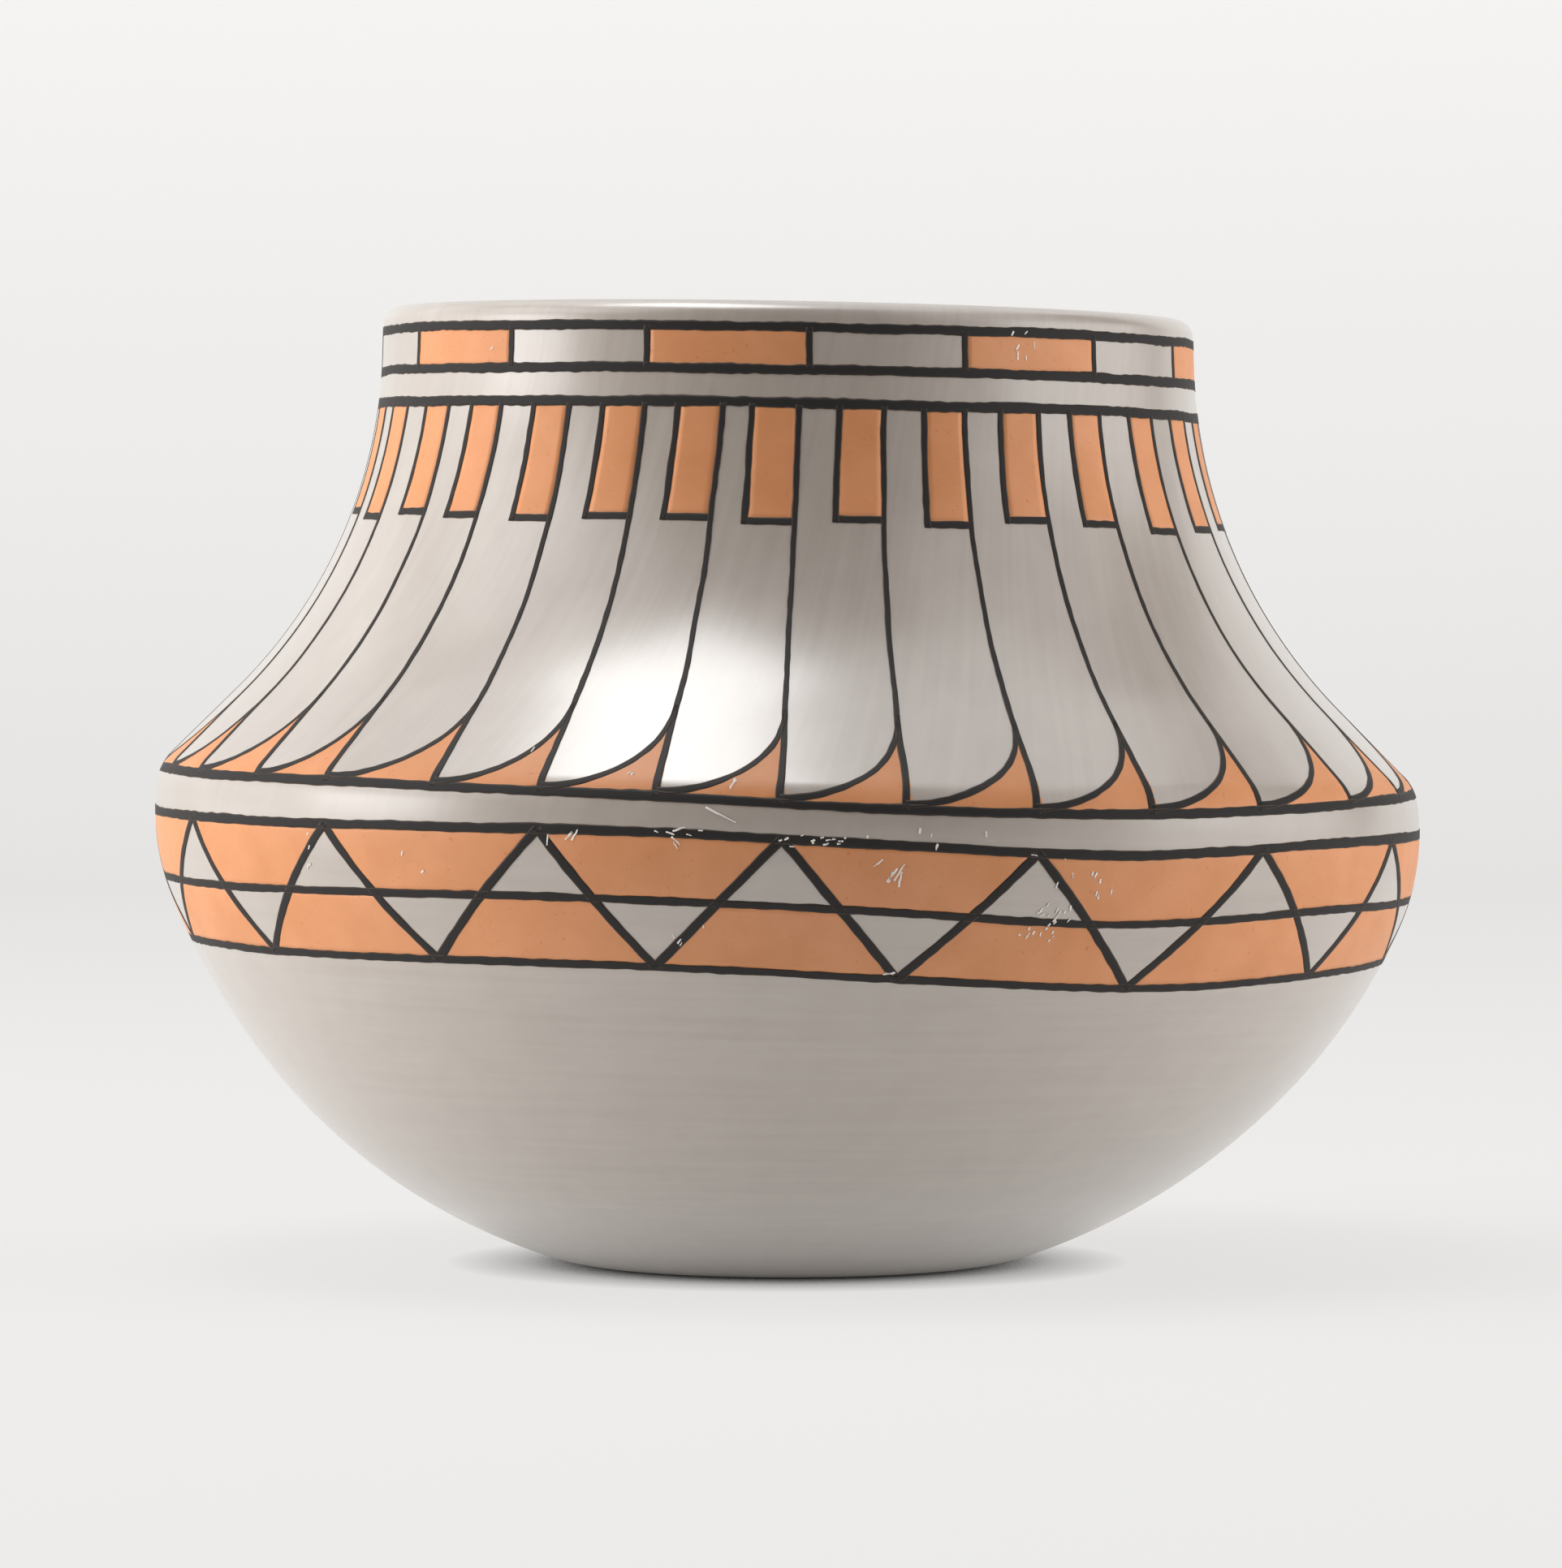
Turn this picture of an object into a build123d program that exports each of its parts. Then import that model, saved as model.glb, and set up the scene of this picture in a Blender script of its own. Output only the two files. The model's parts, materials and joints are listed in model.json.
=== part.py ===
from build123d import *
import os
from dataclasses import dataclass
from math import atan2, cos, degrees, pi, radians, sin, sqrt, tan

# A pueblo pottery jar, in millimetres and degrees, on z = 0 with its axis on Z and its front to -Y.
# It is built as the potter builds it: a base dish, courses of coil lapped one on the other,
# and orange fields and black lines painted on the finished wall.

# Outside of the jar, from the lip down
JAR_HEIGHT = 162.0
MOUTH_RADIUS = 69.0
NECK_LEAN = 2.0
NECK_CURVE = 85.0
SHOULDER_SLOPE = 45.0
KEEL_CURVE = 9.0
GIRDLE_RISE = 6.2
GIRDLE_CURVE = 40.0
GIRDLE_RADIUS = 108.0
GIRDLE_HEIGHT = 75.7
UNDERBODY_CURVE = 105.0
FOOT_CURVE = 36.0
FOOT_RADIUS = 31.0

# Thickness of the clay and of the paint, and the clearance between them
WALL = 6.0
PAINT_COAT = 0.25
PAINT_CLEARANCE = 0.12

# Base dish and coils, measured up the outside from the edge of the foot
DISH_REACH = 55.0
GIRDLE_COIL = 17.4
COIL_LAP = 6.0
COIL_NAMES = (
    "lower_coil_1",
    "lower_coil_2",
    "lower_coil_3",
    "girdle_coil",
    "shoulder_coil_1",
    "shoulder_coil_2",
    "neck_coil_1",
    "neck_coil_2",
    "rim_coil",
)

# Widths of the painted lines
FRAMING_LINE = 1.5
DIVIDER_LINE = 1.1
FEATHER_LINE = 1.3
ZIGZAG_LINE = 1.6

# Rim band: how far its lines lie below the lip, and the angle where its first orange block ends
RIM_LINE_DROP = 1.4
BLOCK_LINE_DROP = 8.3
NECK_LINE_DROP = 13.8
BLOCK_PAIRS = 8
BLOCK_START = 2.9

# Feather band: length and width of the bars, curve of the tips, and the angle of one shaft
FEATHERS = 32
FEATHER_START = 1.7
BAR_LENGTH = 19.5
BAR_WIDTH = 7.4
TIP_CURVE = 20.0

# Girdle band: two rows of panels hung from the widest level, and the angle of one zigzag peak
ZIGZAGS = 16
ZIGZAG_START = 0.5
PANEL_ROW = 11.2

# Angle of the X axis as seen from the front of the jar, and a cutter's reach through the paint
FRONT = 90.0
CUTTER_REACH = 4 * WALL

# Shortest straight beside the hollow of the neck, and shortest length of outline worth an edge
LEAST_STRAIGHT = 2.0
LEAST_EDGE = 1e-6


def normal(lean):
    """Outward direction, as (radius, height), at an angle above level in radians."""
    return Vector(cos(lean), sin(lean))


def uphill(lean):
    """Direction up the outline where its outward direction has this angle."""
    return Vector(-sin(lean), cos(lean))


@dataclass
class Stretch:
    """One arc or straight of the outline. Its bend is 1 / radius, negative where hollow."""

    start: float
    length: float
    lean: float
    bend: float
    first: Vector

    def lean_at(self, along):
        return self.lean + self.bend * (along - self.start)

    def place(self, along, out=0.0):
        lean = self.lean_at(along)
        if self.bend:
            climb = (normal(lean) - normal(self.lean)) / self.bend
        else:
            climb = uphill(lean) * (along - self.start)
        return self.first + climb + normal(lean) * out


def chain(first, lean, legs):
    """Stretches of (length, bend) that run on from one another without a corner."""
    stretches = []
    along = 0.0
    for length, bend in legs:
        stretch = Stretch(along, length, lean, bend, first)
        stretches.append(stretch)
        along += length
        first = stretch.place(along)
        lean = stretch.lean_at(along)
    return stretches


def arc(turn, radius):
    """Leg of a chain that turns by an angle in radians."""
    return abs(turn) * radius, (1 if turn > 0 else -1) / radius


def underbody_centre():
    """Centre of the arc that touches the foot's arc and the girdle's arc from inside."""
    foot = Vector(FOOT_RADIUS, FOOT_CURVE)
    girdle = Vector(GIRDLE_RADIUS - GIRDLE_CURVE, GIRDLE_HEIGHT)
    from_foot = UNDERBODY_CURVE - FOOT_CURVE
    from_girdle = UNDERBODY_CURVE - GIRDLE_CURVE
    apart = (girdle - foot).length
    along = (from_foot**2 - from_girdle**2 + apart**2) / (2 * apart)
    aside = sqrt(from_foot**2 - along**2)
    to_girdle = (girdle - foot) / apart
    return foot + to_girdle * along + Vector(-to_girdle.Y, to_girdle.X) * aside


def jar_outline():
    """Stretches of the outside, from the edge of the foot up and over the lip."""
    centre = underbody_centre()
    foot_turn = atan2(FOOT_CURVE - centre.Y, FOOT_RADIUS - centre.X)
    girdle_turn = atan2(GIRDLE_HEIGHT - centre.Y, GIRDLE_RADIUS - GIRDLE_CURVE - centre.X)
    rise = radians(GIRDLE_RISE)
    slope = radians(SHOULDER_SLOPE)
    neck = radians(NECK_LEAN)
    lower = [
        arc(foot_turn + pi / 2, FOOT_CURVE),
        arc(girdle_turn - foot_turn, UNDERBODY_CURVE),
        arc(rise - girdle_turn, GIRDLE_CURVE),
        arc(slope - rise, KEEL_CURVE),
    ]
    foot_edge = Vector(FOOT_RADIUS, 0)
    keel = chain(foot_edge, -pi / 2, lower)[-1]
    keel_top = keel.place(keel.start + keel.length)

    # The shoulder from the keel and the neck from the lip meet in a corner, which the hollow rounds off
    lip = WALL / 2
    lip_foot = Vector(MOUTH_RADIUS, JAR_HEIGHT - lip + lip * sin(neck))
    gap = lip_foot - keel_top
    shoulder_way = uphill(slope)
    neck_way = uphill(neck)
    spread = shoulder_way.X * neck_way.Y - shoulder_way.Y * neck_way.X
    shoulder_reach = (gap.X * neck_way.Y - gap.Y * neck_way.X) / spread
    neck_reach = (shoulder_way.X * gap.Y - shoulder_way.Y * gap.X) / spread
    half_turn = (slope - neck) / 2
    room = min(shoulder_reach, neck_reach) - LEAST_STRAIGHT
    rounding = min(NECK_CURVE * tan(half_turn), room)
    upper = [
        (shoulder_reach - rounding, 0.0),
        arc(neck - slope, rounding / tan(half_turn)),
        (neck_reach - rounding, 0.0),
        arc(pi, lip),
    ]
    return chain(foot_edge, -pi / 2, lower + upper)


OUTLINE = jar_outline()
GIRDLE, KEEL = OUTLINE[2:4]
LIP = OUTLINE[-1]
LIP_FOOT = LIP.start
LIP_END = LIP.start + LIP.length

# Middles of the painted lines, measured up the outside from the edge of the foot
WIDEST = GIRDLE.start - GIRDLE.lean / GIRDLE.bend
RIM_LINE = LIP_FOOT - RIM_LINE_DROP
BLOCK_LINE = LIP_FOOT - BLOCK_LINE_DROP
NECK_LINE = LIP_FOOT - NECK_LINE_DROP
KEEL_LINE = KEEL.start + KEEL.length / 2
PANEL_LINE = WIDEST - PANEL_ROW
FOOT_LINE = WIDEST - 2 * PANEL_ROW
HALF_LINE = FRAMING_LINE / 2


def stretch_at(along):
    """The stretch of the outline that holds a distance."""
    return next(stretch for stretch in OUTLINE if along <= stretch.start + stretch.length)


def radius_at(along):
    """Radius of the jar at a distance up the outside."""
    return stretch_at(along).place(along).X


def run(start, end, out=0.0):
    """Edges along the outline between two distances, moved out along its normal."""
    edges = []
    for stretch in OUTLINE:
        low = max(start, stretch.start)
        high = min(end, stretch.start + stretch.length)
        if high - low < LEAST_EDGE:
            continue
        first = stretch.place(low, out)
        last = stretch.place(high, out)
        if stretch.bend:
            edges.append(ThreePointArc(first, stretch.place((low + high) / 2, out), last))
        else:
            edges.append(Line(first, last))
    return edges


def upright(edges):
    """Face inside a closed loop of edges, stood up in the plane of the axis."""
    return Plane.XZ * make_face(edges)


def seam(number):
    """Inner and outer distances of a lapped seam. The coil above laps down inside the one below."""
    girdle = COIL_NAMES.index("girdle_coil")
    girdle_foot = WIDEST - GIRDLE_COIL / 2
    girdle_head = WIDEST + GIRDLE_COIL / 2
    if number > girdle:
        step = (LIP_FOOT - girdle_head) / (len(COIL_NAMES) - girdle - 1)
        middle = girdle_head + (number - girdle - 1) * step
    else:
        step = (girdle_foot - DISH_REACH) / girdle
        middle = DISH_REACH + number * step
    return middle - COIL_LAP / 2, middle + COIL_LAP / 2


def seam_edge(number):
    """Edge of a lapped seam across the clay."""
    inner, outer = seam(number)
    inside = stretch_at(inner).place(inner, -WALL)
    return Line(inside, stretch_at(outer).place(outer))


def base_dish():
    """Dish that is pressed in a mould, with a flat foot and a bevelled edge."""
    inner, outer = seam(0)
    wall = [*run(0, outer), seam_edge(0), *run(0, inner, -WALL)]
    floor = Polyline((FOOT_RADIUS, WALL), (0, WALL), (0, 0), (FOOT_RADIUS, 0))
    return revolve(upright([*wall, *floor.edges()]), Axis.Z)


def coil(number):
    """Course of coil between two lapped seams. The last one ends in the round lip."""
    low_inner, low_outer = seam(number)
    if number + 1 < len(COIL_NAMES):
        high_inner, high_outer = seam(number + 1)
        top = [seam_edge(number + 1)]
    else:
        high_inner = LIP_FOOT
        high_outer = LIP_END
        top = []
    outside = run(low_outer, high_outer)
    inside = run(low_inner, high_inner, -WALL)
    return revolve(upright([*outside, *inside, seam_edge(number), *top]), Axis.Z)


def patch(low, high, left, right):
    """Paint between two distances up the outside and two angles round the jar."""
    inside = run(low, high, PAINT_CLEARANCE)
    outside = run(low, high, PAINT_CLEARANCE + PAINT_COAT)
    foot = Line(inside[0] @ 0, outside[0] @ 0)
    head = Line(inside[-1] @ 1, outside[-1] @ 1)
    coat = upright([*inside, *outside, foot, head])
    return Rot(0, 0, left - FRONT) * revolve(coat, Axis.Z, right - left)


def ring(middle):
    """Painted line that runs round the jar."""
    return patch(middle - HALF_LINE, middle + HALF_LINE, 0, 360)


def copies(piece, count):
    """Pieces spaced evenly round the jar."""
    return [Rot(0, 0, 360 / count * number) * piece for number in range(count)]


def surface_frame(along, angle):
    """Plane that touches the jar, with X to the right and Y uphill as seen from outside."""
    stretch = stretch_at(along)
    spot = stretch.place(along)
    lean = stretch.lean_at(along)
    turn = radians(angle - FRONT)
    origin = Vector(spot.X * cos(turn), spot.X * sin(turn), spot.Y)
    outward = Vector(cos(lean) * cos(turn), cos(lean) * sin(turn), sin(lean))
    return Plane(origin, x_dir=Vector(-sin(turn), cos(turn), 0), z_dir=outward)


def rim_band():
    """Orange blocks and the upright lines that divide the band, between the two rim lines."""
    low = BLOCK_LINE + HALF_LINE
    high = RIM_LINE - HALF_LINE
    block = 180 / BLOCK_PAIRS
    half = degrees(DIVIDER_LINE / radius_at(low)) / 2
    orange = patch(low, high, BLOCK_START - block + half, BLOCK_START - half)
    divider = patch(low, high, BLOCK_START - half, BLOCK_START + half)
    return copies(orange, BLOCK_PAIRS), copies(divider, 2 * BLOCK_PAIRS)


def feather_band():
    """Orange bars and tips, and the black shafts, bar outlines and tip curves between them."""
    top = NECK_LINE - HALF_LINE
    foot = KEEL_LINE + HALF_LINE
    bar_foot = top - BAR_LENGTH
    radius = radius_at(bar_foot)
    pitch = 360 / FEATHERS
    half = degrees(FEATHER_LINE / radius) / 2
    bar = degrees(BAR_WIDTH / radius)
    right = FEATHER_START - half
    left = right - bar
    edge = left - 2 * half
    shaft = patch(foot, top, right, right + 2 * half)
    orange_bar = patch(bar_foot, top, left, right)
    side = patch(bar_foot - FEATHER_LINE, top, edge, left)
    sole = patch(bar_foot - FEATHER_LINE, bar_foot, left, right)

    # The tip is what a round lobe, centred on the shaft to the left, leaves of the feather's corner.
    # The lobe is turned so that its cylinder's seam lies on the far side from the corner.
    lobe_frame = surface_frame(foot + TIP_CURVE, FEATHER_START - pitch).location * Rot(0, 0, 180)
    lobe = lobe_frame * Cylinder(TIP_CURVE, CUTTER_REACH)
    lobe_core = lobe_frame * Cylinder(TIP_CURVE - FEATHER_LINE, CUTTER_REACH)
    corner = patch(foot, foot + TIP_CURVE, right - pitch + 2 * half, right)
    pieces = (orange_bar, corner - lobe, shaft, side + sole, corner & (lobe - lobe_core))
    return [copies(piece, FEATHERS) for piece in pieces]


def girdle_band():
    """Orange panels in two rows, and the zigzag that divides them."""
    half = 180 / ZIGZAGS
    high = WIDEST - HALF_LINE
    low = FOOT_LINE + HALF_LINE
    upper = (PANEL_LINE + HALF_LINE, high)
    lower = (low, PANEL_LINE - HALF_LINE)
    middle = (low + high) / 2
    fall = degrees(atan2(high - low, radius_at(middle) * radians(half)))
    reach = 2 * radians(half) * GIRDLE_RADIUS
    peak = ZIGZAG_START
    next_peak = peak + 2 * half

    def stroke_place(top, side):
        """Place of the stroke that falls to one side of a peak, with X along it."""
        return surface_frame(middle, top + side * half / 2).location * Rot(0, 0, -side * fall)

    def beyond(place, way):
        """Block that covers a stroke and all that lies above it or below it."""
        return place * Pos(0, way * (reach - ZIGZAG_LINE) / 2, 0) * Box(2 * reach, reach, CUTTER_REACH)

    def stroke(side):
        """One stroke in both rows, ending on the upright planes of its peak and its trough."""
        line = stroke_place(peak, side) * Box(2 * reach, ZIGZAG_LINE, CUTTER_REACH)
        left = min(peak, peak + side * half)
        return [patch(*row, left, left + half) & line for row in (upper, lower)]

    hanging = patch(*upper, peak, next_peak)
    hanging -= beyond(stroke_place(peak, 1), -1)
    hanging -= beyond(stroke_place(next_peak, -1), -1)
    standing = patch(*lower, peak - half, peak + half)
    standing -= beyond(stroke_place(peak, -1), 1)
    standing -= beyond(stroke_place(peak, 1), 1)
    panels = [*copies(hanging, ZIGZAGS), *copies(standing, ZIGZAGS)]
    zigzag = [line for piece in [*stroke(-1), *stroke(1)] for line in copies(piece, ZIGZAGS)]
    return panels, zigzag


def write(name, solids):
    """Writes one node of the jar."""
    export_step(Compound(label=name, children=solids), f"parts/{name}.step")


def main():
    os.makedirs("parts", exist_ok=True)
    write("base_dish", [base_dish()])
    for number, name in enumerate(COIL_NAMES):
        write(name, [coil(number)])

    blocks, dividers = rim_band()
    bars, tips, shafts, outlines, curves = feather_band()
    panels, zigzag = girdle_band()
    write("orange_rim_blocks", blocks)
    write("orange_feather_bars", bars)
    write("orange_feather_tips", tips)
    write("orange_girdle_panels", panels)
    levels = (RIM_LINE, BLOCK_LINE, NECK_LINE, KEEL_LINE, WIDEST, PANEL_LINE, FOOT_LINE)
    write("black_framing_lines", [ring(level) for level in levels])
    write("black_rim_dividers", dividers)
    write("black_feather_shafts", shafts)
    write("black_bar_outlines", outlines)
    write("black_tip_curves", curves)
    write("black_zigzag", zigzag)


main()
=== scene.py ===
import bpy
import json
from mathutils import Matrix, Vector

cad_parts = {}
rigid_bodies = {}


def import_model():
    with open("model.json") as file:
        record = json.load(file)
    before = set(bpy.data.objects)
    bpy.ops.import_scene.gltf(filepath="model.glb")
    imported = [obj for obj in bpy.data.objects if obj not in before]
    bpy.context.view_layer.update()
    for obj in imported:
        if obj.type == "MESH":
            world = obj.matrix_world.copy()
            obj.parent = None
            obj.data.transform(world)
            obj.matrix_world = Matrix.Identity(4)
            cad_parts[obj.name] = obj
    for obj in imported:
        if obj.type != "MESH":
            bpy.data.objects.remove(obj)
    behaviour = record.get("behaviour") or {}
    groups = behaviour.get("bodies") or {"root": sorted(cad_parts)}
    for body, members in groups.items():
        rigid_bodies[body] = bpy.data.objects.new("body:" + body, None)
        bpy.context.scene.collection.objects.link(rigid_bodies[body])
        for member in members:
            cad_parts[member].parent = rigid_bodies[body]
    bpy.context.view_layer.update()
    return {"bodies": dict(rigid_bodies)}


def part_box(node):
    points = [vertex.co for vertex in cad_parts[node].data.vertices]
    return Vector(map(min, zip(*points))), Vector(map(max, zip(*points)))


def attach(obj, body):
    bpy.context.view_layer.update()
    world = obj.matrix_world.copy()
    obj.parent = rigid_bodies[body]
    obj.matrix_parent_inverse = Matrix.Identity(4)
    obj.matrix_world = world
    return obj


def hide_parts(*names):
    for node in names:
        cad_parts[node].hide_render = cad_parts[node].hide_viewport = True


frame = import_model()

import json
import logging
import math
from dataclasses import dataclass
from enum import Enum, IntEnum
from typing import Any, Sequence

import bpy
import numpy as np

# Looks of a coil-built pueblo jar with a stone-burnished grey slip, orange slip fields and black lines.
# Sizes are in millimetres and angles in degrees until a mesh is made. An angle of 0 faces the camera,
# and angles grow to the right as seen from the front. A place on the wall is given by the distance up its
# outside from the edge of the foot, and by its angle. The studio is in metres.

log = logging.getLogger("jar")
Array = np.ndarray
Pair = tuple[float, float]
Triple = tuple[float, float, float]
Material = bpy.types.Material
Tree = bpy.types.NodeTree
Socket = bpy.types.NodeSocket
MM = 0.001
BODY = next(iter(frame["bodies"]))
SEEDS_PER_LINE = 4


class Slot(Enum):
    """Material slots of the jar's record."""

    CLAY = "slipped_clay"
    ORANGE = "orange_slip"
    BLACK = "black_paint"


class Edge(Enum):
    """Whether a painted line has two ends or runs all round the jar."""

    OPEN = "open"
    RING = "ring"


class Seed(IntEnum):
    """First random seed of each kind of hand-made unevenness."""

    BARS = 3
    SLIP_EDGE = 5
    DIVIDERS = 200
    BAR_SIDES = 400
    BAR_FEET = 600
    TIP_CURVES = 800
    SHAFT_STRAY = 900
    SHAFTS = 1000
    ZIGZAG = 1300
    SCRATCHES = 2000


def to_linear(colour: str) -> tuple[float, float, float, float]:
    """Turns an sRGB hex colour into linear RGBA.

    Args:
        colour: six hex digits after a hash sign.

    Returns:
        Red, green, blue and an alpha of 1.
    """
    shares = [int(colour[place : place + 2], 16) / 255 for place in (1, 3, 5)]
    linear = [s / 12.92 if s <= 0.04045 else ((s + 0.055) / 1.055) ** 2.4 for s in shares]
    return (linear[0], linear[1], linear[2], 1.0)


# Numbered sockets. Mix: 0 is the share, 2 and 3 are values, 6 and 7 colours, and output 2 is the colour.
# Map Range: 0 is the value, 1 and 2 are the ends of its range, 3 and 4 are what they become.
def add_node(tree: Tree, kind: str, inputs: dict[Any, Any], **settings: Any) -> bpy.types.Node:
    """Adds a shader node with its settings, values and links.

    Args:
        tree: node tree of a material or the world.
        kind: Blender's name for the node type.
        inputs: value or linked output for each input, by name or number.
        settings: properties of the node.

    Returns:
        The new node.
    """
    node = tree.nodes.new(kind)
    for name, value in settings.items():
        setattr(node, name, value)
    for key, value in inputs.items():
        if isinstance(value, Socket):
            tree.links.new(value, node.inputs[key])
        else:
            node.inputs[key].default_value = value
    return node


def new_material(name: str) -> tuple[Material, Tree]:
    """Makes an empty node material.

    Args:
        name: name of the material.

    Returns:
        The material and its node tree.
    """
    material = bpy.data.materials.new(name)
    material.use_nodes = True
    material.node_tree.nodes.clear()
    return material, material.node_tree


def grain_at(tree: Tree, size: float, detail: float, roughness: float) -> Socket:
    """Adds noise that stays on the jar.

    Args:
        tree: node tree of a material.
        size: size of the grains in millimetres.
        detail: number of finer layers.
        roughness: strength of the finer layers.

    Returns:
        The noise, about 0.5 on average.
    """
    place = add_node(tree, "ShaderNodeTexCoord", {}).outputs["Object"]
    noise = {"Vector": place, "Scale": 1 / (size * MM), "Detail": detail, "Roughness": roughness}
    return add_node(tree, "ShaderNodeTexNoise", noise).outputs["Fac"]


def two_tones(tree: Tree, amount: Socket, span: Pair, first: str, last: str) -> Socket:
    """Adds a colour that goes from one tone to another.

    Args:
        tree: node tree of a material.
        amount: value that the colour follows.
        span: amounts at which the first tone ends and the last one is reached.
        first: hex colour below the span.
        last: hex colour over the span.

    Returns:
        The colour.
    """
    share = add_node(tree, "ShaderNodeMapRange", {0: amount, 1: span[0], 2: span[1]})
    tones = {0: share.outputs[0], 6: to_linear(first), 7: to_linear(last)}
    return add_node(tree, "ShaderNodeMix", tones, data_type="RGBA").outputs[2]


def end_material(material: Material, finish: dict[str, Any]) -> Material:
    """Ends a material with its surface.

    Args:
        material: material to end.
        finish: value or linked output for each input of the surface.

    Returns:
        The same material.
    """
    shader = add_node(material.node_tree, "ShaderNodeBsdfPrincipled", finish)
    add_node(material.node_tree, "ShaderNodeOutputMaterial", {"Surface": shader.outputs["BSDF"]})
    return material


def add_object(name: str, data: bpy.types.ID) -> bpy.types.Object:
    """Puts an object into the scene.

    Args:
        name: name of the object.
        data: its mesh, lamp or camera.

    Returns:
        The object.
    """
    item = bpy.data.objects.new(name, data)
    bpy.context.scene.collection.objects.link(item)
    return item


def wander(share: Array, slowest: int, fastest: int, seed: int) -> Array:
    """Smooth seeded noise that repeats after a share of 1.

    Args:
        share: places along a path, from 0 to 1.
        slowest: fewest waves along the path.
        fastest: most waves along the path.
        seed: seed of the noise.

    Returns:
        Values of about -1 to 1.
    """
    rng = np.random.default_rng(seed)
    waves = np.arange(slowest, fastest + 1)
    height = rng.normal(size=waves.size)
    shift = rng.uniform(0, 2 * math.pi, waves.size)
    total = np.sin(2 * math.pi * np.multiply.outer(share, waves) + shift) @ height
    return total / math.sqrt(2 * waves.size)


def smooth_step(value: Array, low: float, high: float) -> Array:
    """Rises smoothly from 0 at low to 1 at high."""
    share = np.clip((value - low) / (high - low), 0, 1)
    return share * share * (3 - 2 * share)


def all_round(seen: Sequence[float], count: int) -> Array:
    """Adds the angles that the photo hides, evenly spaced round the back.

    Args:
        seen: angles on the side that shows, from left to right.
        count: number of angles all round the jar.

    Returns:
        All angles from left to right.
    """
    gap = (seen[0] + 360 - seen[-1]) / (count - len(seen) + 1)
    hidden = seen[-1] + gap * np.arange(1, count - len(seen) + 1)
    return np.concatenate([np.array(seen, float), hidden])


@dataclass(frozen=True)
class Stretch:
    """One arc or straight of the outline. Its bend is 1 / radius, negative where hollow."""

    start: float
    length: float
    lean: float
    bend: float
    radius: float
    height: float


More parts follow.
